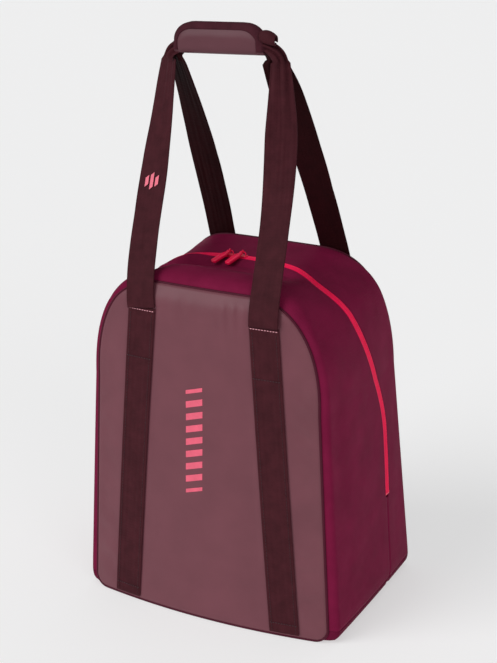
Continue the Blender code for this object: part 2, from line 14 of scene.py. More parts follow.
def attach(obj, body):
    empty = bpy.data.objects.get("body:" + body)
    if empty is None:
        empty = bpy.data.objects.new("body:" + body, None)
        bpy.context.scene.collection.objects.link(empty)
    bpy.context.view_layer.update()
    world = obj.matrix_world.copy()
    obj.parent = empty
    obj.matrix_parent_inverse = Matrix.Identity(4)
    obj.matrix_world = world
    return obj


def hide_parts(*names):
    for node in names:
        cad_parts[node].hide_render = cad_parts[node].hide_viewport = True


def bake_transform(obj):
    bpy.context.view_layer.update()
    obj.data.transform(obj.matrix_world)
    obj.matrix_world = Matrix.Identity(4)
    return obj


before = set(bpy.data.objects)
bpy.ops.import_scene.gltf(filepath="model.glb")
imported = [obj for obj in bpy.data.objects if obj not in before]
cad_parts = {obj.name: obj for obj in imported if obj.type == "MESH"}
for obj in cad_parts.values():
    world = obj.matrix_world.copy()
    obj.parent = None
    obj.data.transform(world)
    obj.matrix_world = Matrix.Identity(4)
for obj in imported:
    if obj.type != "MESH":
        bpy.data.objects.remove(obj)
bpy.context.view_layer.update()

# ---- The bag's sizes, close to the CAD model's 
HALF_DEPTH = 0.1225
BASE_HALF, SHOULDER_HALF, SHOULDER_Z = 0.169, 0.153, 0.30
TOP_Z, TOP_HALF, SHOULDER_POWER = 0.438, 0.06, 2.3
CORNER = 0.018
FRONT_BULGE, BACK_BULGE = 0.0165, 0.006
TOP_ROUND, TOP_ROUND_Z = 0.0095, 0.403
SIDE_BULGE = 0.005
BACK_LEAN, BACK_RISE = 0.046, 0.008
PIPING = 0.0015
ZIP_ARC, ZIP_MID, ZIP_SIDE = 0.2, 0.115, 0.164
ZIP_STRAIGHT, ZIP_SIDE_START = 0.082, 0.33
SPLIT_Z = 0.134
WEB, WEB_T = 0.038, 0.0016
STITCH_Z, STITCH_X, FOOT_X = 0.403, 0.082, 0.113
GRIP = Vector((-0.042, -0.0025, 0.7085))
GRIP_TILT, GRIP_LEN, GRIP_H = 2.5, 0.121, 0.037
SLIDER_AT = {"left": -0.026, "right": -0.009}
BAR_UP = 0.0056

# ---- Sizes of the finer surface --------------
FABRIC_T = 0.0022          # gusset fabric with its foam
PANEL_T = 0.0026
TAPE = 0.0058              # visible half width of the zip tape
TAPE_DROP = 0.0007         # how far the tape lies under the gusset's face
BEAD = 0.0019              # height of the ridge over each half of the coil
TURN, COIL_DEEP = 0.0016, 0.0021          # spacing of the coil's turns, and their depth under the skin
EDGE_STEP = 0.011          # how far the padded gusset stands out beside the panels at the base
LEFT_STEP = 0.85           # share of that step on the slacker left side
EDGE_ROLL = 0.007          # radius of the gusset's turn into its seams
CREST, CREST_ROLL = 0.0090, 0.020         # height and depth of the roll above the front's top seam
FRONT_DIP, DIP_START, DIP_END = 0.0028, 0.405, 0.436      # how far the front's top sinks, and where
TOP_START, TOP_FADE = 0.10, 0.16          # where the top turns into the sides, as path lengths
HOLLOW = 0.009             # depth of the hollow that the pulls hang in
PULL_TURNS = {"left": -27, "right": -18}  # degrees that the pulls have turned about the upright
PULL_DIP = 15              # degrees that their tips hang down
PULL_LONG, PULL_WIDE, PULL_HIGH = 0.0275, 0.0084, 0.0047
SHOULDER_FOLD, SHOULDER_DENT = 0.0070, 0.0150             # depths of the left shoulder's fold and dent
FOLD_START, FOLD_END = Vector((-0.100, -0.108)), Vector((-0.036, -0.020))     # that fold, as (s, y)
SHOULDER_SAG = 0.0085      # how far the whole left shoulder has sunk
LAP = 0.0042               # height of the fold that laps over the zip
ON_PANEL = 0.0004          # gap between a panel and the webbing sewn on it
BAR_ROW, LOW_ROWS = STITCH_Z - 0.0036, (0.338, 0.020)     # heights of the rows of stitches across it
WEB_APART = 0.0022         # depth of each handle's webbing in the grip, from the grip's middle plane
MARK_X, MARK_Z = -0.0095, 0.243           # middle of the front panel's mark
STRAP_MARK_Z = 0.540       # height of the left strap's mark


# ---- Small helpers ---------------------------
def smooth(low, high, value):
    t = max(0.0, min(1.0, (value - low) / (high - low)))
    return t * t * (3 - 2 * t)


def bell(value, centre, width):
    return math.exp(-((value - centre) / width) ** 2)


def spaced(start, end, count):
    return [start + (end - start) * k / (count - 1) for k in range(count)]


def wave(x, y, z, size):
    """Soft noise between about -1 and 1, with features of that size."""
    return noise.noise(Vector((x, y, z)) / size)


# ---- The bag's outline and skin --------------
def side_half(z):
    return BASE_HALF + (SHOULDER_HALF - BASE_HALF) * z / SHOULDER_Z


def half_outline():
    """The right half of the front outline, from the middle of the top to the middle of the base."""
    points = [(TOP_HALF * k / 6, TOP_Z) for k in range(6)]
    power = 2 / SHOULDER_POWER
    for k in range(41):
        a = math.radians(90 - 90 * k / 40)
        points.append((TOP_HALF + (SHOULDER_HALF - TOP_HALF) * max(math.cos(a), 0) ** power,
                       SHOULDER_Z + (TOP_Z - SHOULDER_Z) * max(math.sin(a), 0) ** power))
    for k in range(1, 30):
        z = SHOULDER_Z + (CORNER - SHOULDER_Z) * k / 30
        points.append((side_half(z), z))
    middle = side_half(CORNER) - CORNER
    for k in range(9):
        a = math.radians(90 * k / 8)
        points.append((middle + CORNER * math.cos(a), CORNER - CORNER * math.sin(a)))
    points.append((0, 0))
    return points


OUTLINE = half_outline()
REACH = [0.0]
for one, two in zip(OUTLINE, OUTLINE[1:]):
    REACH.append(REACH[-1] + math.dist(one, two))


@lru_cache(maxsize=None)
def outline(s):
    """Point and outward normal (x, z, nx, nz) at path length s."""
    reach = min(abs(s), REACH[-1] - 1e-6)
    k = max(i for i in range(len(REACH) - 1) if REACH[i] <= reach)
    part = (reach - REACH[k]) / (REACH[k + 1] - REACH[k])
    (x0, z0), (x1, z1) = OUTLINE[k], OUTLINE[k + 1]
    before, after = OUTLINE[max(k - 1, 0)], OUTLINE[min(k + 2, len(OUTLINE) - 1)]
    start = Vector((x1 - before[0], z1 - before[1])).normalized()
    end = Vector((after[0] - x0, after[1] - z0)).normalized()
    along = start.lerp(end, part).normalized()
    side = 1 if s >= 0 else -1
    return side * (x0 + (x1 - x0) * part), z0 + (z1 - z0) * part, side * -along.y, along.x


def reach_at(z):
    """Path length down to height z."""
    below = [k for k, point in enumerate(OUTLINE) if point[1] <= z][0]
    high, low = OUTLINE[below - 1][1], OUTLINE[below][1]
    return REACH[below - 1] + (REACH[below] - REACH[below - 1]) * (high - z) / (high - low)


def face_y(x, z, way):
    """Depth of the front (way -1) or back (way 1) panel's outer surface. Both roll in at the top, and
    the back leans forward towards it."""
    roll = max(0, (z - TOP_ROUND_Z) / (TOP_Z - TOP_ROUND_Z))
    if way < 0:
        bulge = FRONT_BULGE * (1 - 0.45 * (z / TOP_Z) ** 2) * (1 - (x / BASE_HALF) ** 2)
        return -HALF_DEPTH - bulge + TOP_ROUND * roll ** 2
    bulge = BACK_BULGE * (1 - (x / BASE_HALF) ** 2)
    return HALF_DEPTH - BACK_LEAN * z / TOP_Z + bulge - TOP_ROUND * roll ** 2


def rise(z, across):
    """How much higher than the outline the bag stands. across is 0 at the front and 1 at the back."""
    dip = FRONT_DIP * smooth(DIP_START, DIP_END, z) * (1 - min(1, across / 0.3)) ** 2
    return BACK_RISE * across * smooth(SHOULDER_Z, TOP_Z, z) - dip


def face_point(x, z, way, out):
    """Point at that distance off the front or back panel's plain surface, without its wrinkles."""
    return Vector((x, face_y(x, z, way) + way * out, z + rise(z, 0 if way < 0 else 1)))


def zip_y(s):
    """The zip's place in depth at path length s."""
    reach = abs(s)
    if reach < ZIP_STRAIGHT:
        return -HALF_DEPTH + ZIP_MID - ZIP_ARC + math.sqrt(ZIP_ARC ** 2 - reach ** 2)
    start = ZIP_MID - ZIP_ARC + math.sqrt(ZIP_ARC ** 2 - ZIP_STRAIGHT ** 2)
    slope = -ZIP_STRAIGHT / math.sqrt(ZIP_ARC ** 2 - ZIP_STRAIGHT ** 2)
    span = ZIP_SIDE_START - ZIP_STRAIGHT
    u = min((reach - ZIP_STRAIGHT) / span, 1)
    keep = (1 + 2 * u) * (1 - u) ** 2
    return -HALF_DEPTH + keep * start + u * (1 - u) ** 2 * slope * span + (1 - keep) * ZIP_SIDE


@lru_cache(maxsize=None)
def edges(s):
    """Depths of the front seam, the back seam and the zip at path length s."""
    x, z, _, _ = outline(s)
    return face_y(x, z, -1), face_y(x, z, 1), zip_y(s)


def roll_in(distance, depth, drop):
    """How far cloth has rolled in at that distance from the seam that it turns into."""
    if distance >= depth:
        return 0.0
    return drop * (1 - math.sqrt(max(1 - (1 - distance / depth) ** 2, 0.0)))


def top_front(s, y, front, middle):
    """Height of the slack cloth in front of the zip: a roll behind the seam, a hollow under the pulls,
    the folds at the left shoulder and, from there to the sliders, a fold that laps over the zip."""
    t = (y - front) / (middle - front)
    high = CREST * (1 - smooth(TOP_START, TOP_FADE, abs(s))) * math.sin(math.pi * t ** 0.5)
    under_pulls = smooth(0.30, 0.66, t) * (1 - smooth(0.80, 1.0, t))
    high -= HOLLOW * under_pulls * (1 - smooth(0.066, 0.100, abs(s)))
    run = FOLD_END - FOLD_START
    point = Vector((s, y)) - FOLD_START
    along = point.dot(run) / run.length_squared
    off = point.x * run.y / run.length - point.y * run.x / run.length
    length = smooth(-0.15, 0.12, along) * (1 - smooth(0.45, 1.25, along))
    high -= SHOULDER_FOLD * length * bell(off, 0, 0.010)
    high -= SHOULDER_DENT * bell(s, -0.096, 0.024) * bell(y, -0.062, 0.028)
    lapping = smooth(0.036, 0.075, -s) * (1 - smooth(0.110, 0.130, -s))
    return high * min(1, (middle - y) / 0.02) + LAP * lapping * bell(middle - y, TAPE + 0.003, 0.006)


def skin(s, y, out=0.0):
    """Point of the gusset's outer surface at path length s and depth y, moved out by out."""
    x, z, nx, nz = outline(s)
    front, back, middle = edges(s)
    across = (y - front) / (back - front)
    top = 1 - smooth(TOP_START, TOP_FADE, abs(s))
    proud = SIDE_BULGE * smooth(0, 0.035, z) * (1 - top) * 4 * across * (1 - across)
    step = EDGE_STEP * (1 - 0.5 * z / TOP_Z) * (1 - top) * smooth(0, 0.012, z)
    if s <= 0:
        step *= LEFT_STEP
    ahead, behind = y - front - PIPING, back - PIPING - y
    proud -= roll_in(ahead, EDGE_ROLL + (CREST_ROLL - EDGE_ROLL) * top, EDGE_ROLL + step)
    proud -= roll_in(behind, EDGE_ROLL, EDGE_ROLL + step)
    proud += step
    if y < middle:
        proud += top_front(s, y, front, middle)
    proud -= SHOULDER_SAG * bell(s, -0.138, 0.040) * bell(y, 0.000, 0.065)
    calm = smooth(0.012, 0.03, abs(y - middle))
    soft = wave(x, y, z, 0.07) * 0.0014 + wave(x + 3, y, z, 0.028) * 0.0004
    sides = smooth(0.02, 0.09, z) * smooth(0.008, 0.03, y - front) * smooth(0.008, 0.03, back - y)
    proud += soft * sides * (0.35 + 0.65 * calm) - 0.0004 * sides
    if z < SPLIT_Z:
        proud -= 0.0014 * bell(y, middle, 0.0016) * smooth(0.004, 0.012, SPLIT_Z - z)
    return Vector((x + nx * (proud + out), y, z + nz * (proud + out) + rise(z, across)))


RIM = np.array([outline(s)[:2] for s in spaced(-REACH[-1], REACH[-1], 3000)])


def rim_distance(x, z):
    """Distance from a point of a panel to its edge."""
    return float(np.sqrt(((RIM - (x, z)) ** 2).sum(1).min()))


def web_x(z):
    """The sewn webbing's middle at height z."""
    return FOOT_X + (STITCH_X - FOOT_X) * z / STITCH_Z


def panel_wrinkles(x, z):
    """Height of the front panel's soft creases."""
    high = 0.0011 * wave(x, 0.3, z, 0.085) + 0.0004 * wave(x, 1.7, z, 0.03)
    # Puckers under the top edge.
    near = bell(z, 0.412, 0.022)
    pucker = math.sin((x + 0.06 * (z - 0.40)) * math.tau / 0.0135 + 0.8)
    high += 0.0007 * pucker * near * bell(x, 0.040, 0.020)
    high += 0.0004 * math.sin(x * math.tau / 0.021) * near * bell(x, -0.03, 0.03)
    # Loose cloth beside the webbing.
    slack = smooth(0.112, 0.132, x) + 0.6 * smooth(0.120, 0.140, -x)
    high += 0.0028 * wave(x * 0.4 - 0.3 * z, 5.1, z, 0.018) * slack * (1 - smooth(0.33, 0.40, z))
    # Slanted creases at the right and the left edge.
    lean = (x - 0.137) * 0.55 + (z - 0.30) * 0.84
    high += 0.0008 * math.sin(lean * math.tau / 0.021) * bell(x, 0.137, 0.014) * bell(z, 0.305, 0.05)
    lean = (x + 0.142) * -0.45 + (z - 0.27) * 0.89
    high += 0.0007 * math.sin(lean * math.tau / 0.026) * bell(x, -0.145, 0.014) * bell(z, 0.27, 0.05)
    return high


def panel_point(x, z, way, out=0.0):
    """Point of the front (way -1) or back (way 1) panel's outer surface, moved out by out."""
    edge = rim_distance(x, z)
    high = panel_wrinkles(x if way < 0 else -x, z if way < 0 else z + 0.013)
    high *= smooth(0.004, 0.02, edge)
    under_web = smooth(0.75 * WEB, 0.5 * WEB, abs(abs(x) - web_x(z))) if z < STITCH_Z + 0.004 else 0
    high *= 1 - under_web
    high -= roll_in(edge - 2 * PIPING + 0.0012, 0.004, 0.004)
    return face_point(x, z, way, high + out)


# ---- Mesh building ---------------------------
def path_lengths(points):
    """The length along a line of points up to each of them."""
    total = [0.0]
    for one, two in zip(points, points[1:]):
        total.append(total[-1] + (two - one).length)
    return total


def cloth_uv(mesh, rows):
    """Lays the mesh flat in metres in its UV map "cloth": across along each row, up along the rows."""
    layer = mesh.uv_layers.new(name="cloth")
    middle = len(rows[0]) // 2
    flat = []
    for row, up in zip(rows, path_lengths([row[middle] for row in rows])):
        steps = path_lengths(row)
        flat += [(step - steps[middle], up) for step in steps]
    for loop in mesh.loops:
        layer.data[loop.index].uv = flat[loop.vertex_index]


def smooth_mesh(bm, mesh):
    bm.to_mesh(mesh)
    bm.free()
    mesh.shade_smooth()
    return mesh


def grid_mesh(name, rows):
    """A mesh over rows of points. Its faces point along (next row) x (next point)."""
    bm = bmesh.new()
    grid = [[bm.verts.new(p) for p in row] for row in rows]
    for low, high in zip(grid, grid[1:]):
        for k in range(len(low) - 1):
            bm.faces.new((low[k], high[k], high[k + 1], low[k + 1]))
    mesh = smooth_mesh(bm, bpy.data.meshes.new(name))
    cloth_uv(mesh, rows)
    return mesh


def new_object(name, data, *looks):
    made = bpy.data.objects.new(name, data)
    bpy.context.scene.collection.objects.link(made)
    for look in looks:
        made.data.materials.append(look)
    return made


def sheet(name, rows, thickness, look, offset=-1, lining=None, rim=0):
    """Cloth over rows of points, made solid. A lining gives its inner face its own material."""
    made = new_object(name, grid_mesh(name, rows), look, *([lining] if lining else []))
    solid = made.modifiers.new("Solidify", "SOLIDIFY")
    solid.thickness = thickness
    solid.offset = offset
    if lining:
        solid.material_offset = 1
        solid.material_offset_rim = rim
    return made


def ring_tube(name, points, radius, look):
    """A round cord along a closed line of points."""
    curve = bpy.data.curves.new(name, "CURVE")
    curve.dimensions = "3D"
    curve.bevel_depth = radius
    curve.bevel_resolution = 3
    spline = curve.splines.new("POLY")
    spline.points.add(len(points) - 1)
    for slot, point in zip(spline.points, points):
        slot.co = (*point, 1)
    spline.use_cyclic_u = True
    source = bpy.data.objects.new(name, curve)
    bpy.context.scene.collection.objects.link(source)
    bpy.context.view_layer.update()
    graph = bpy.context.evaluated_depsgraph_get()
    mesh = bpy.data.meshes.new_from_object(source.evaluated_get(graph))
    bpy.data.objects.remove(source)
    bm = bmesh.new()
    bm.from_mesh(mesh)
    bmesh.ops.remove_doubles(bm, verts=bm.verts, dist=1e-6)
    return new_object(name, smooth_mesh(bm, mesh), look)


def close_rings(bm, rings):
    """Faces from each ring of vertices to the next, and a cap on both ends."""
    for one, two in zip(rings, rings[1:]):
        for n in range(len(one)):
            m = (n + 1) % len(one)
            bm.faces.new((one[n], one[m], two[m], two[n]))
    bm.faces.new(rings[0][::-1])
    bm.faces.new(rings[-1])


# Places along a stitch and the thread's thickness there, as shares.
STITCH_PROFILE = [(0.0, 0.25), (0.14, 0.9), (0.5, 1.0), (0.86, 0.9), (1.0, 0.25)]


def thread(name, runs, look, radius):
    """Rows of stitches. Each stitch is a short thick thread with tapered ends, from point to point."""
    bm = bmesh.new()
    for start, end, up in runs:
        along = (end - start).normalized()
        side = along.cross(up).normalized()
        rings = []
        for part, wide in STITCH_PROFILE:
            centre = start.lerp(end, part) + up * radius * (0.7 * wide - 0.5)
            rings.append([bm.verts.new(centre + (side * math.cos(a) + up * math.sin(a)) * radius * wide)
                          for a in (math.tau * n / 6 for n in range(6))])
        close_rings(bm, rings)
    bmesh.ops.recalc_face_normals(bm, faces=bm.faces)
    return new_object(name, smooth_mesh(bm, bpy.data.meshes.new(name)), look)


def stitch_runs(points, up, length, gap):
    """Stitches of that length with that gap along a line of points."""
    runs = []
    total = path_lengths(points)

    def at(reach):
        k = min(max(int(np.searchsorted(total, reach)) - 1, 0), len(points) - 2)
        return points[k].lerp(points[k + 1], (reach - total[k]) / (total[k + 1] - total[k]))

    reach = 0.0
    while reach + length <= total[-1]:
        runs.append((at(reach), at(reach + length), up))
        reach += length + gap
    return runs


# ---- Materials -------------------------------
class Look:
    """A Principled material and short calls that add its nodes."""

    def __init__(self, name, color, roughness, **sockets):
        self.material = bpy.data.materials.new(name)
        self.material.use_nodes = True
        self.nodes = self.material.node_tree.nodes
        self.links = self.material.node_tree.links
        self.shader = self.nodes["Principled BSDF"]
        self.shader.inputs["Base Color"].default_value = (*color, 1)
        self.shader.inputs["Roughness"].default_value = roughness
        for socket, value in sockets.items():
            self.shader.inputs[socket.replace("_", " ")].default_value = value
        self.color = color
        self.height = None

    def add(self, kind, **values):
        node = self.nodes.new(kind)
        for key, value in values.items():
            if hasattr(node, key):
                setattr(node, key, value)
            else:
                node.inputs[key.replace("_", " ")].default_value = value
        return node

    def object_place(self):
        return self.add("ShaderNodeTexCoord").outputs["Object"]

    def cloth_place(self):
        return self.add("ShaderNodeUVMap", uv_map="cloth").outputs["UV"]

    def noise(self, place, scale, detail=3.0, roughness=0.5):
        node = self.add("ShaderNodeTexNoise", Scale=scale, Detail=detail, Roughness=roughness)
        self.links.new(place, node.inputs["Vector"])
        return node.outputs["Fac"]

    def waves(self, place, spacing, axis, distortion=0.0):
        """Straight bands with that spacing in metres, which is a tenth of pi at scale 1."""
        node = self.add("ShaderNodeTexWave", wave_type="BANDS", bands_direction=axis,
                        Scale=math.pi / 10 / spacing, Distortion=distortion)
        self.links.new(place, node.inputs["Vector"])
        return node.outputs["Fac"]

    def math(self, operation, a, b):
        node = self.add("ShaderNodeMath", operation=operation)
        for slot, value in zip(node.inputs, (a, b)):
            if isinstance(value, (int, float)):
                slot.default_value = value
            else:
                self.links.new(value, slot)
        return node.outputs["Value"]

    def shade(self, factor, dark, light):
        """Base colour between two shades, by factor from 0.3 to 0.7."""
        ramp = self.add("ShaderNodeValToRGB")
        ramp.color_ramp.elements[0].position = 0.3
        ramp.color_ramp.elements[1].position = 0.7
        ramp.color_ramp.elements[0].color = (*[c * dark for c in self.color], 1)
        ramp.color_ramp.elements[1].color = (*[min(c * light, 1) for c in self.color], 1)
        self.links.new(factor, ramp.inputs["Fac"])
        self.links.new(ramp.outputs["Color"], self.shader.inputs["Base Color"])

    def rough(self, factor, low, high):
        node = self.add("ShaderNodeMapRange", To_Min=low, To_Max=high)
        self.links.new(factor, node.inputs["Value"])
        self.links.new(node.outputs["Result"], self.shader.inputs["Roughness"])

    def relief(self, height, distance, strength=1.0):
        """Adds a bump layer over the ones before it."""
        node = self.add("ShaderNodeBump", Strength=strength, Distance=distance)
        self.links.new(height, node.inputs["Height"])
        if self.height is not None:
            self.links.new(self.height, node.inputs["Normal"])
        self.height = node.outputs["Normal"]
        self.links.new(self.height, self.shader.inputs["Normal"])


def weave(look, spacing, depth, twill=False):
    """A plain or twill weave with bands of that spacing in the cloth's flat layout."""
    place = look.cloth_place()
    warp = look.waves(place, spacing, "X")
    weft = look.waves(place, spacing, "DIAGONAL", 0.2) if twill else look.waves(place, spacing, "Y")
    look.relief(look.math("MULTIPLY", warp, weft), depth)


def coated_look(name, color):
    look = Look(name, color, 0.44, Specular_IOR_Level=0.26)
    place = look.object_place()
    look.shade(look.noise(place, 22, 4), 0.93, 1.07)
    look.rough(look.noise(place, 60, 3), 0.39, 0.49)
    grain = look.add("ShaderNodeTexVoronoi", Scale=1150)
    look.links.new(place, grain.inputs["Vector"])
    look.relief(grain.outputs["Distance"], 0.00012, 0.5)
    look.relief(look.noise(place, 240, 3), 0.00014, 0.35)
    return look.material


def fabric_look(name, color, roughness=0.6, sheen=0.0):
    look = Look(name, color, roughness, Sheen_Weight=sheen, Sheen_Roughness=0.35,
                Sheen_Tint=(0.6, 0.4, 0.45, 1), Specular_IOR_Level=0.03)
    place = look.object_place()
    look.shade(look.noise(place, 30, 5, 0.6), 0.88, 1.12)
    look.rough(look.noise(place, 90, 3), roughness - 0.05, roughness + 0.05)
    weave(look, 0.0028289, 0.00012)
    look.relief(look.noise(place, 320, 2), 0.0001, 0.4)
    return look.material


def webbing_look(name, color):
    look = Look(name, color, 0.70, Sheen_Weight=0.04, Sheen_Roughness=0.4,
                Sheen_Tint=(0.7, 0.3, 0.4, 1), Specular_IOR_Level=0.08)
    place = look.cloth_place()
    look.shade(look.noise(look.object_place(), 70, 5, 0.6), 0.82, 1.18)
    ribs = look.math("MULTIPLY", look.waves(place, 0.0059721, "X"), 0.7)
    rows = look.math("MULTIPLY", look.waves(place, 0.0037718, "Y", 0.4), 0.5)
    look.relief(look.math("ADD", ribs, rows), 0.00022)
    return look.material


def zip_look():
    look = Look("zip_tape", (0.84, 0.003, 0.072), 0.42, Specular_IOR_Level=0.2)
    look.shade(look.noise(look.object_place(), 120, 3), 0.93, 1.05)
    weave(look, 0.0025146, 0.00008, twill=True)
    return look.material


def plain_look(name, color, roughness, scale=300, depth=0.00008, **sockets):
    look = Look(name, color, roughness, **sockets)
    place = look.object_place()
    look.shade(look.noise(place, scale / 8, 3), 0.92, 1.08)
    look.relief(look.noise(place, scale, 3), depth, 0.5)
    return look.material


COATED = coated_look("coated_panel", (0.148, 0.044, 0.059))
# Painted shade: the grip wrap wears a darker copy of the panel's coating, which is the same cloth.
GRIP_COATED_PAINTED_SHADE = coated_look("coated_grip_painted_shade", (0.100, 0.030, 0.041))
FABRIC = fabric_look("gusset_fabric", (0.166, 0.0082, 0.040))
BASE_FABRIC = fabric_look("base_fabric", (0.120, 0.0066, 0.030), roughness=0.65)
LINING = fabric_look("lining", (0.030, 0.010, 0.015), sheen=0.04)
WEBBING = webbing_look("webbing", (0.050, 0.0098, 0.0142))
# Painted shade: a darker copy of the webbing, for the webbing's inner faces, which face down and away
# from the light.
WEB_INNER_PAINTED_SHADE = webbing_look("webbing_inner_painted_shade", (0.0170, 0.0014, 0.0024))
BINDING = webbing_look("binding", (0.054, 0.0115, 0.0185))
PIPE = plain_look("piping", (0.066, 0.006, 0.018), 0.5, Specular_IOR_Level=0.12)
ZIP = zip_look()
TEETH = plain_look("zip_coil", (0.62, 0.005, 0.040), 0.35, Specular_IOR_Level=0.3)
PULL = plain_look("zip_pull", (0.86, 0.005, 0.068), 0.34, 500, 0.00003, Specular_IOR_Level=0.4)
THREAD = plain_look("thread", (0.78, 0.34, 0.40), 0.6)
DARK_THREAD = plain_look("dark_thread", (0.040, 0.010, 0.016), 0.6)
PRINT = plain_look("print", (0.76, 0.100, 0.170), 0.42, 700, 0.00003)
BOARD = plain_look("base_board", (0.03, 0.03, 0.032), 0.55, 200)


# ---- Panels ----------------------------------
def panel_rows(way, inset):
    """Rows over a panel from its bottom to its top edge, as wide as the outline less the inset."""
    low = [(CORNER - (CORNER - inset) * math.cos(a),
            side_half(CORNER) - CORNER + (CORNER - inset) * math.sin(a))
           for a in spaced(0, math.pi / 2, 7)[:-1]]
    sides = [(z, side_half(z) - inset) for z in spaced(CORNER, SHOULDER_Z, 100)[:-1]]
    power = 2 / SHOULDER_POWER
    high = [(SHOULDER_Z + (TOP_Z - inset - SHOULDER_Z) * math.sin(a) ** power,
             TOP_HALF + (SHOULDER_HALF - TOP_HALF - inset) * max(math.cos(a), 0) ** power)
            for a in spaced(0, math.pi / 2, 70)]
    near = [0, 0.0009, 0.002, 0.0034, 0.005, 0.007]
    rows = []
    for z, half in low + sides + high:
        xs = [half - step for step in near] + spaced(half - 0.0095, -half + 0.0095, 120) \
            + [-half + step for step in reversed(near)]
        rows.append([panel_point(-way * x, z, way) for x in xs])
    return rows


def make_panel(name, way, *nodes):
    made = sheet(name, panel_rows(way, 2 * PIPING - 0.0009), PANEL_T, COATED, lining=LINING)
    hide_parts(*nodes)
    return made


# ---- Gusset ----------------------------------
SIDE_END = reach_at(CORNER)
ZIP_END = reach_at(SPLIT_Z)


def both_sides(stations):
    """Path lengths on the right, which start at 0, with their mirror image on the left."""
    return [-s for s in reversed(stations[1:])] + list(stations)


ARCH = both_sides(spaced(0, ZIP_END, 170) + spaced(ZIP_END, SIDE_END, 42)[1:])


def depths(low, high, near_low, near_high):
    """Depths from low to high, closer together near each end."""
    inner = spaced(low + near_low[-1] * 1.6, high - near_high[-1] * 1.6, 40)
    return [low + step for step in near_low] + inner + [high - step for step in reversed(near_high)]


SEAM_STEPS = [0, 0.0007, 0.0016, 0.0028, 0.0042, 0.006]
FOLD_STEPS = [0, 0.0004, 0.0010, 0.002]


def beside_zip(s):
    """How far the gusset's edge stays off the zip's middle: the tape's width down to the zip's end."""
    return TAPE * (1 - smooth(0, 0.004, abs(s) - ZIP_END)) + 0.00015


def make_gusset(way, part):
    """The gusset's half in front of the zip (way -1) or behind it (way 1), down to the base."""
    rows = []
    for s in ARCH:
        front, back, middle = edges(s)
        edge = middle + way * beside_zip(s)
        if way < 0:
            ys = depths(front + PIPING, edge, SEAM_STEPS, FOLD_STEPS)
        else:
            ys = depths(edge, back - PIPING, FOLD_STEPS, SEAM_STEPS)
        rows.append([skin(s, y, -0.0005 * bell(y, edge, 0.0007)) for y in ys])
    made = sheet(f"gusset_{part}_cloth", rows, FABRIC_T, FABRIC, lining=LINING)
    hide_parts(f"gusset_{part}", f"gusset_side_{part}_left", f"gusset_side_{part}_right")
    return made


def make_base():
    half = spaced(SIDE_END, SIDE_END + CORNER * math.pi / 2, 10)
    half += spaced(SIDE_END + CORNER * math.pi / 2, REACH[-1], 40)[1:]
    rows = []
    for s in half + [-s for s in reversed(half[:-1])]:
        front, back, _ = edges(s)
        ys = depths(front + PIPING, back - PIPING, SEAM_STEPS, SEAM_STEPS)
        rows.append([skin(s, y) for y in ys])
    made = sheet("base_cloth", rows, FABRIC_T, BASE_FABRIC, lining=LINING)
    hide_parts("base_panel")
    return made


def make_piping(name, way, *nodes):
    inset = PIPING + 0.0004
    points = []
    for s in spaced(-REACH[-1] + 0.001, REACH[-1] - 0.001, 420):
        x, z, nx, nz = outline(s)
        height = max(z - nz * inset, PIPING + 0.0002) + rise(z, 0 if way < 0 else 1)
        points.append(Vector((x - nx * inset, face_y(x, z, way) - way * PIPING, height)))
    made = ring_tube(name, points, PIPING, PIPE)
    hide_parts(*nodes)
    return made


# ---- Zip -------------------------------------
ZIP_RUN = both_sides(spaced(0, reach_at(SPLIT_Z + 0.003), 200))


def parted(s):
    """Half the gap between the tape's edges: open between the two sliders."""
    left, right = SLIDER_AT["left"], SLIDER_AT["right"]
    opened = smooth(left - 0.004, left + 0.001, s) * (1 - smooth(right - 0.001, right + 0.004, s))
    return 0.00012 + 0.0014 * opened


def tape_height(off):
    """Height of the tape over its flat part, at that distance from its inner edge."""
    return BEAD * bell(off, 0.0019, 0.0016) - 0.0005 * bell(off, 0, 0.0006) - TAPE_DROP


def make_tape(name, way, node):
    rows = []
    offs = [0, 0.0003, 0.0007, 0.0012, 0.0018, 0.0024, 0.0030, 0.0037, 0.0045, 0.0055, TAPE + 0.0045]
    for s in ZIP_RUN:
        middle = edges(s)[2] + way * parted(s)
        rows.append([skin(s, middle + way * off, tape_height(off)) for off in offs[::way]])
    made = sheet(name, rows, 0.0007, ZIP)
    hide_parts(node)
    return made


def make_teeth(name, way, node):
    """The coil's turns under one tape edge, as short threads that reach over the middle."""
    runs = []
    shift = TURN / 2 if way > 0 else 0
    for s in spaced(ZIP_RUN[0] + 0.003, ZIP_RUN[-1] - 0.003, int(2 * ZIP_END / TURN)):
        middle = edges(s)[2] + way * parted(s)
        start = skin(s + shift, middle + way * 0.0026, -COIL_DEEP)
        end = skin(s + shift, middle - way * 0.0004, -COIL_DEEP)
        _, _, nx, nz = outline(s)
        runs.append((start, end, Vector((nx, 0, nz))))
    made = thread(name, runs, TEETH, 0.00055)
    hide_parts(node)
    return made


def slider_place(s):
    turn = Matrix.Rotation(-math.asin(s / ZIP_ARC), 4, "Z")
    return Matrix.Translation(skin(s, zip_y(s))) @ turn


def section(wide, high):
    """A rounded bar's cross-section, as points across and up."""
    points = []
    for a in (math.tau * n / 20 for n in range(20)):
        c, s = math.cos(a), math.sin(a)
        across = wide / 2 * math.copysign(abs(c) ** 0.6, c)
        points.append((across, high / 2 * math.copysign(abs(s) ** 0.6, s)))
    return points


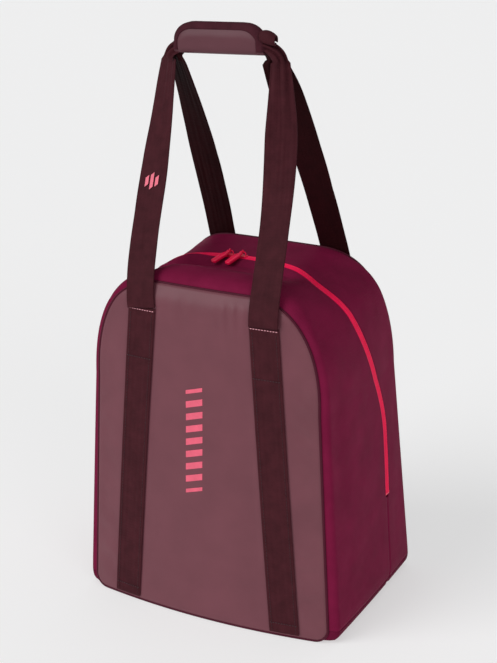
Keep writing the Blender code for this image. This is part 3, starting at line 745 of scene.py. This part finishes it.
def make_pull(hand):
    """A moulded finger pull: a waist at the eye, then a ribbed grip with a rounded end."""
    turn = Matrix.Rotation(math.radians(PULL_TURNS[hand]), 4, "Z")
    dip = Matrix.Rotation(math.radians(PULL_DIP), 4, "X")
    place = slider_place(SLIDER_AT[hand]) @ Matrix.Translation((0, 0, BAR_UP)) @ turn @ dip
    bm = bmesh.new()
    rings = []
    for u in spaced(0, 1, 64):
        end = math.sqrt(max(1 - max(0, u - 0.93) ** 2 / 0.07 ** 2, 0.02))
        waist = 0.55 + 0.45 * smooth(0.05, 0.28, u)
        rib = 1 + 0.10 * max(0, math.sin((u - 0.34) * math.tau * 9)) * (0.34 < u < 0.90)
        wide = PULL_WIDE * waist * end
        high = PULL_HIGH * (0.7 + 0.3 * smooth(0.0, 0.3, u)) * end * rib
        along = -(0.0030 + PULL_LONG * u)
        rings.append([bm.verts.new(place @ Vector((x, along, z))) for x, z in section(wide, high)])
    close_rings(bm, rings)
    bmesh.ops.recalc_face_normals(bm, faces=bm.faces)
    name = f"finger_pull_{hand}"
    made = new_object(name, smooth_mesh(bm, bpy.data.meshes.new(name)), PULL)
    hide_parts(f"pull_tab_{hand}")
    return made


# ---- Webbing and handles ---------------------
def web_profile():
    """Places across a webbing and the height of its ribs and rounded edges there."""
    half = WEB / 2
    inner = spaced(-half + 0.001, half - 0.001, 25)
    found = []
    for place in [-half, -half + 0.0004] + inner + [half - 0.0004, half]:
        side = max(0, abs(place) - (half - 0.001)) / 0.001
        rib = 0.00013 * math.cos(place / half * math.pi * 4)
        found.append((place, rib - 0.00045 * side ** 2))
    return found


def make_sewn_web(name, side, way, *nodes):
    """Webbing that is sewn down on a panel from the base seam to the cross stitching."""
    rows = []
    for z in spaced(0.0066, STITCH_Z - 0.0006, 120):
        row = []
        for place, high in web_profile():
            x = side * web_x(z) + way * place
            lift = ON_PANEL + WEB_T + high + 0.00025 * wave(x * 0.2, side, z, 0.03)
            row.append(face_point(x, z, way, lift))
        rows.append(row)
    made = sheet(name, rows, WEB_T, WEBBING)
    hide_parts(*nodes)
    return made


def cross_stitches(name, side, way, z, look, node=None):
    """A row of stitches across the webbing at height z."""
    points = [face_point(side * web_x(z) + way * across, z, way, ON_PANEL + WEB_T + 0.0006)
              for across in spaced(-WEB / 2 + 0.0015, WEB / 2 - 0.0015, 12)]
    made = thread(name, stitch_runs(points, Vector((0, way, 0)), 0.0026, 0.0010), look, 0.00055)
    if node:
        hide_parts(node)
    return made


def edge_stitches(name, side, way):
    """The rows of dark stitches along both edges of the sewn-down webbing."""
    runs = []
    for edge in (-0.8, 0.8):
        points = [face_point(side * web_x(z) + edge * WEB / 2, z, way, ON_PANEL + WEB_T + 0.0002)
                  for z in spaced(0.009, STITCH_Z - 0.008, 60)]
        runs += stitch_runs(points, Vector((0, way, 0)), 0.0028, 0.0012)
    made = thread(name, runs, DARK_THREAD, 0.00030)
    return made


def hinge(way):
    """Depth and height of the line that a handle swings about."""
    depth = face_y(STITCH_X - WEB / 2, STITCH_Z, way) + way * (0.0015 + WEB_T / 2)
    return depth, STITCH_Z + rise(STITCH_Z, 0 if way < 0 else 1)


def at_grip(x, y, z):
    """A point given from the grip's middle, along the grip, across it and up."""
    return GRIP + Matrix.Rotation(math.radians(-GRIP_TILT), 3, "Y") @ Vector((x, y, z))


WEB_LOW = -0.007           # height of the webbing inside the grip, from the grip's middle

# How each leg bends, by (way, side): the first two are control points, each with its share of the way to
# the grip, how far it bows out sideways, how far it leans in, and its height above the foot. The last is
# how far the leg's head stands out from the grip's end.
LEG_BENDS = {(-1, -1): ((0.15, 0.002, 0.0, 0.050), (0.55, 0.012, 0.084, 0.120), 0.0108),
             (-1, 1): ((0.15, 0.004, 0.0, 0.050), (0.55, 0.012, 0.084, 0.120), 0.0205),
             (1, -1): ((0.15, 0.000, 0.012, 0.060), (0.55, 0.000, 0.050, 0.180), 0.0010),
             (1, 1): ((0.15, 0.000, 0.010, 0.050), (0.55, 0.004, 0.045, 0.170), 0.0100)}


def leg_run(way, side):
    """Middle points of a handle's leg, with their place along it: 0 at the stitching, 1 where it turns
    into the grip, 2 inside the grip."""
    hinge_y, hinge_z = hinge(way)
    low_bend, high_bend, out = LEG_BENDS[way, side]
    foot = Vector((side * STITCH_X, hinge_y, hinge_z - 0.001))
    head = at_grip(side * (GRIP_LEN / 2 + out), way * WEB_APART, -0.026)
    controls = []
    for share, bow, lean, height in (low_bend, high_bend):
        x = foot.x + (head.x - foot.x) * share + side * bow
        controls.append(Vector((x, hinge_y - way * lean, foot.z + height)))
    low, high = controls
    run = []
    for u in spaced(0, 1, 71):
        keep = 1 - u
        point = foot * keep ** 3 + low * 3 * u * keep ** 2 + high * 3 * u ** 2 * keep + head * u ** 3
        run.append((point, u))
    for k in range(1, 15):
        a = math.pi / 2 * k / 15
        step = Vector((-side * (0.012 + out) * (1 - math.cos(a)), 0, (0.026 + WEB_LOW) * math.sin(a)))
        run.append((head + step, 1 + k / 15))
    return run


def handle_stations(way):
    middle = [(at_grip(x, way * WEB_APART, WEB_LOW), 2) for x in spaced(-0.047, 0.047, 20)]
    return [(p, u, -1) for p, u in leg_run(way, -1)] + [(p, u, 0) for p, u in middle] \
        + [(p, u, 1) for p, u in reversed(leg_run(way, 1))]


# By (way, side): the degrees that a leg's face has turned to the left at its head, the places along the
# leg where that starts and ends, and where its webbing starts to bunch up.
LEG_TURNS = {(-1, -1): (33, 0.60, 1.06, 0.93), (-1, 1): (-36, 0.50, 0.98, 0.80),
             (1, -1): (30, 0.50, 1.05, 0.96), (1, 1): (-20, 0.40, 1.00, 0.86)}


def lie_of_webbing(way, side, u, along):
    """The direction across a handle's webbing at one place, and how far it has bunched up there."""
    across = along.cross(Vector((0, 1, 0))).normalized()
    if not side:
        return across, 1.0
    degrees, start, end, bunch = LEG_TURNS[way, side]
    turn = math.radians(degrees) * smooth(start, end, u) * (1 - smooth(1.15, 1.85, u))
    return Matrix.Rotation(-turn, 3, along * -side) @ across, smooth(bunch, bunch + 0.30, u)


def make_handle(name, way, node):
    """One handle: a loop of webbing from one stitching through the grip to the other."""
    stations = handle_stations(way)
    rows = []
    for k, (point, u, side) in enumerate(stations):
        ahead = stations[min(k + 1, len(stations) - 1)][0]
        behind = stations[max(k - 1, 0)][0]
        along = (ahead - behind).normalized()
        across, gather = lie_of_webbing(way, side, u, along)
        normal = along.cross(across).normalized()
        half = WEB / 2 * (1 - 0.56 * gather)
        row = []
        for place, high in web_profile():
            v = place / (WEB / 2)
            fold = 0.0020 * gather * math.cos(math.pi * (2.6 * v + 0.4 * side)) * (1 + 0.4 * v)
            fold += 0.004 * gather * (v * v - 0.5)
            lift = 0.0006 * wave(point.x, side + v, point.z, 0.05) * smooth(0.1, 0.3, u)
            row.append(point + across * v * half - normal * (fold + lift - high * way))
        rows.append(row)
    # The rear handle shows its inner face, so it wears the darker painted-shade copy of the webbing
    # outside. The front handle has that copy on its hidden inner face.
    if way > 0:
        made = sheet(name, rows, WEB_T, WEB_INNER_PAINTED_SHADE, offset=0, lining=WEBBING, rim=1)
    else:
        made = sheet(name, rows, WEB_T, WEBBING, offset=0, lining=WEB_INNER_PAINTED_SHADE)
    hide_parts(node)
    return made


# ---- Grip wrap -------------------------------
END_RX, END_RZ = 0.027, 0.021      # radii of the wrap's top corners
WRAP_T = 0.0036
WRAP_LOW = -GRIP_H / 2 + 0.0004
BINDING_WIDE = 0.0063


def wrap_top(x):
    """Height of the wrap's top edge, which is rounded at both ends."""
    over = max(0, abs(x) - (GRIP_LEN / 2 - END_RX)) / END_RX
    return GRIP_H / 2 - END_RZ + END_RZ * math.sqrt(max(1 - over ** 2, 0.0))


def wrap_depth(x, z):
    """Half depth of the closed wrap's outer face, from the grip's middle plane."""
    from_top = wrap_top(x) - z
    from_end = GRIP_LEN / 2 - abs(x)
    low = z - WRAP_LOW
    crown = 0.0048 + 0.0040 * smooth(0, 0.017, from_top)
    crown -= 0.0012 * (1 - smooth(0, 0.012, from_end))
    crown += 0.0004 * wave(x, 0, z, 0.02)
    if low >= 0.010:
        return crown
    return crown * math.sqrt(max(0.0, 1 - max(0, 1 - low / 0.010) ** 2.2))


def wrap_xs():
    turn = [GRIP_LEN / 2 - END_RX + END_RX * math.sin(a) for a in spaced(0, math.pi / 2, 22)]
    return [-x for x in reversed(turn)] + spaced(turn[0], -turn[0], 50)[1:-1][::-1] + turn


def make_wrap():
    rows = []
    for x in wrap_xs():
        top = wrap_top(x) - 0.0006
        heights = [WRAP_LOW + (top - WRAP_LOW) * (1 - math.cos(a)) for a in spaced(0, math.pi / 2, 26)]
        row = [at_grip(x, -wrap_depth(x, z), z) for z in reversed(heights)]
        row += [at_grip(x, wrap_depth(x, z), z) for z in heights[1:]]
        rows.append(row[::-1])
    # The wrap's coating is the panel's, painted darker for shade.
    made = sheet("grip_wrap", rows, WRAP_T, GRIP_COATED_PAINTED_SHADE, lining=LINING)
    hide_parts("grip_wrap_rear", "grip_wrap_front")
    return made


def make_rolled_fold():
    """The front handle's webbing turned over on itself beside the grip's right end."""
    rows = []
    for u in spaced(0, 1, 16):
        radius = 0.0080 * math.sin(math.pi * (0.18 + 0.62 * u)) ** 0.6
        x = GRIP_LEN / 2 - 0.004 + 0.0205 * u
        centre = at_grip(x, -0.0035 - 0.0015 * u, 0.0045 - 0.0045 * u * u)
        row = []
        for n, a in enumerate(spaced(math.radians(-110), math.radians(230), 26)):
            spiral = radius * (1 - 0.012 * n)
            wobble = 0.0003 * wave(u * 0.05, n * 0.004, 0.2, 0.02)
            row.append(centre + Vector((0.0012 * math.sin(a), -(spiral + wobble) * math.sin(a),
                                        spiral * math.cos(a))))
        rows.append(row)
    made = sheet("grip_end_fold", rows, WEB_T, WEBBING)
    return made


def wrap_edge_path():
    """Points and inward directions (x, z) along the wrap's open edge, from low left over the top."""
    path = []
    for z in spaced(WRAP_LOW + 0.005, GRIP_H / 2 - END_RZ, 10)[:-1]:
        path.append(((-GRIP_LEN / 2, z), (1.0, 0.0)))
    for a in spaced(math.pi, math.pi / 2, 22):
        c, s = math.cos(a), math.sin(a)
        place = (-GRIP_LEN / 2 + END_RX + END_RX * c, GRIP_H / 2 - END_RZ + END_RZ * s)
        path.append((place, tuple(Vector((-c / END_RX, -s / END_RZ)).normalized())))
    for x in spaced(-GRIP_LEN / 2 + END_RX, GRIP_LEN / 2 - END_RX, 40)[1:-1]:
        path.append(((x, GRIP_H / 2), (0.0, -1.0)))
    left = [place for place in path if place[0][0] < -0.0379]
    return path + [((-x, z), (-i, j)) for (x, z), (i, j) in reversed(left)]


def make_binding(name, way, node):
    """Folded tape around one layer's open edge."""
    def on_face(step, out):
        px, pz = x + ix * step, z + iz * step
        return at_grip(px, way * (wrap_depth(px, min(pz, wrap_top(px) - 0.0001)) + out), pz)

    rows = []
    for (x, z), (ix, iz) in wrap_edge_path():
        wide = BINDING_WIDE * (1 + 0.30 * smooth(0.030, 0.055, x) - 0.10 * smooth(0.030, 0.055, -x))
        row = [on_face(wide, -0.0001), on_face(wide - 0.0004, 0.0006)]
        row += [on_face(wide * share, 0.0007) for share in (0.75, 0.5, 0.25)]
        row += [on_face(0.0008, 0.0006), on_face(-0.0002, 0.0001)]
        for part in (0.25, 0.5, 0.75):
            depth = wrap_depth(x, z - 0.001) + 0.0001 - (WRAP_T + 0.0006) * part
            bulge = -0.0002 - 0.0009 * math.sin(math.pi * part)
            row.append(at_grip(x + ix * bulge, way * depth, z + iz * bulge))
        row += [on_face(step, -WRAP_T - 0.0006) for step in (0.0002, wide * 0.5, wide * 0.8)]
        rows.append(row if way > 0 else row[::-1])
    made = sheet(name, rows, 0.0006, BINDING)
    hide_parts(node)
    return made


# ---- Build -----------------------------------
def hold(piece, way):
    """The front's pieces are baked in place. The others are attached to the bag's body."""
    if way < 0:
        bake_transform(piece)
    else:
        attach(piece, "bag_body")


def bend_at_foot(handle):
    """Bakes the handle's transform into its mesh. Its webbing leaves the panel just above its last row
    of stitching.
    """
    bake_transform(handle)


hold(make_panel("front_panel", -1, "front_panel_lower", "front_panel_upper"), -1)
hold(make_panel("back_panel_cloth", 1, "back_panel"), 1)
hold(make_gusset(-1, "front"), -1)
hold(make_gusset(1, "rear"), 1)
hold(make_base(), 1)
hold(make_piping("piping_front_cord", -1, "piping_front_lower", "piping_front_upper"), -1)
hold(make_piping("piping_back_cord", 1, "piping_back"), 1)
hold(make_tape("zip_tape_front_half", -1, "zip_tape_front"), -1)
hold(make_tape("zip_tape_rear_half", 1, "zip_tape_rear"), 1)
hold(make_teeth("zip_teeth_front", -1, "zip_coil_front"), -1)
hold(make_teeth("zip_teeth_rear", 1, "zip_coil_rear"), 1)

for side, hand in ((-1, "left"), (1, "right")):
    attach(make_pull(hand), f"pull_{hand}")
    hold(make_sewn_web(f"webbing_front_{hand}", side, -1, f"webbing_front_{hand}_lower",
                       f"webbing_front_{hand}_upper"), -1)
    hold(make_sewn_web(f"webbing_back_{hand}", side, 1, f"webbing_rear_{hand}"), 1)
    for way, part in ((-1, "front"), (1, "rear")):
        hold(cross_stitches(f"cross_stitches_{part}_{hand}", side, way, BAR_ROW, THREAD,
                            f"stitching_{part}_{hand}"), way)
    for low in LOW_ROWS:
        hold(cross_stitches(f"low_stitches_{hand}_{low * 1000:.0f}", side, -1, low, DARK_THREAD), -1)
    hold(edge_stitches(f"edge_stitches_front_{hand}", side, -1), -1)
    hold(edge_stitches(f"edge_stitches_rear_{hand}", side, 1), 1)

bend_at_foot(make_handle("handle_front_web", -1, "handle_strap_front"))
bend_at_foot(make_handle("handle_rear_web", 1, "handle_strap_rear"))
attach(make_rolled_fold(), "front_handle")
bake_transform(make_wrap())
for name, way, node, body in (("grip_binding_front_tape", -1, "grip_binding_front", "grip_flap"),
                              ("grip_binding_rear_tape", 1, "grip_binding_rear", "rear_handle")):
    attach(make_binding(name, way, node), body)


# ---- Printed marks ---------------------------
def slanted_bar(bm, place, at, size, slant):
    """One bar of a printed mark. at and size are in the mark's own plane, across and up."""
    (cx, cy), (wide, high) = at, size
    grid = [[bm.verts.new(place(cx + u * wide, cy + v * high + u * slant)) for u in spaced(-0.5, 0.5, 5)]
            for v in spaced(-0.5, 0.5, 3)]
    for lower, upper in zip(grid, grid[1:]):
        for k in range(len(lower) - 1):
            bm.faces.new((lower[k], lower[k + 1], upper[k + 1], upper[k]))


def make_mark(name, place, bars, slant):
    """A printed mark of slanted bars: each bar is its middle and its size."""
    bm = bmesh.new()
    for at, size in bars:
        slanted_bar(bm, place, at, size, slant)
    mesh = bpy.data.meshes.new(name)
    bm.to_mesh(mesh)
    bm.free()
    made = new_object(name, mesh, PRINT)
    return made


def panel_place(across, up):
    return panel_point(MARK_X + across, MARK_Z + up, -1, 0.00025)


# The bars at both ends of the column are lower than the others.
bars = [((0, up), (0.023, 0.0085 if abs(up) < 0.055 else 0.0051)) for up in spaced(-0.065, 0.065, 9)]
hold(make_mark("panel_mark", panel_place, bars, 0.007), -1)


def strap_place(across, up):
    """A point on the front face of the front left leg, from the middle of the strap's mark."""
    run = leg_run(-1, -1)
    low = max(p for p in range(len(run)) if run[p][0].z <= STRAP_MARK_Z + up)
    (one, u), (two, _) = run[low], run[low + 1]
    point = one.lerp(two, (STRAP_MARK_Z + up - one.z) / (two.z - one.z))
    along = (two - one).normalized()
    side, _ = lie_of_webbing(-1, -1, u, along)
    return point - side * across + along.cross(side).normalized() * (WEB_T / 2 + 0.0010)


marks = [((across, 0), (0.0045, high)) for across, high in ((-0.007, 0.010), (0, 0.016), (0.007, 0.010))]
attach(make_mark("strap_mark", strap_place, marks, 0.003), "front_handle")


# ---- CAD pieces that stay --------------------
def dress(name, look):
    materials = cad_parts[name].data.materials
    materials.clear()
    materials.append(look)


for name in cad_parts:
    if name.startswith(("slider_", "pull_", "zip_stop")):
        dress(name, PULL)
dress("base_board", BOARD)


# ---- Stage, light and camera -----------------
def make_stage():
    bpy.ops.mesh.primitive_plane_add(size=60, location=(0, 0, 0))
    floor = bpy.context.object
    floor.name = "floor"
    look = Look("floor", (0.50, 0.50, 0.50), 0.9, Specular_IOR_Level=0.0, Emission_Strength=0.50)
    look.shader.inputs["Emission Color"].default_value = (1, 1, 1, 1)
    floor.data.materials.append(look.material)


def sun(name, direction, strength, angle):
    """A distant softbox. direction points from the bag to the light."""
    light = bpy.data.lights.new(name, "SUN")
    light.energy = strength
    light.angle = math.radians(angle)
    made = bpy.data.objects.new(name, light)
    made.rotation_euler = Vector(direction).to_track_quat("Z", "Y").to_euler()
    bpy.context.scene.collection.objects.link(made)


make_stage()
sun("key", (-0.66, -0.95, 0.72), 1.80, 45)
sun("right", (1.0, -0.75, 0.30), 0.74, 35)
sun("top", (0.0, 0.3, 1.0), 0.30, 50)
world = bpy.data.worlds.new("studio")
world.use_nodes = True
world.node_tree.nodes["Background"].inputs["Color"].default_value = (0.93, 0.94, 0.96, 1)
world.node_tree.nodes["Background"].inputs["Strength"].default_value = 0.28
bpy.context.scene.world = world
bpy.context.scene.view_settings.view_transform = "Standard"

camera_data = bpy.data.cameras.new("camera")
camera_data.lens = 83.6
camera_data.sensor_width = 36
camera = bpy.data.objects.new("camera", camera_data)
bpy.context.scene.collection.objects.link(camera)
camera.location = (0.830, -1.6385, 1.0)
DOWN, ROUND = 19.7, 27      # degrees that the camera looks down, and that it stands round to the right
camera.rotation_euler = (math.radians(90 - DOWN), 0, math.radians(ROUND))
bpy.context.scene.camera = camera
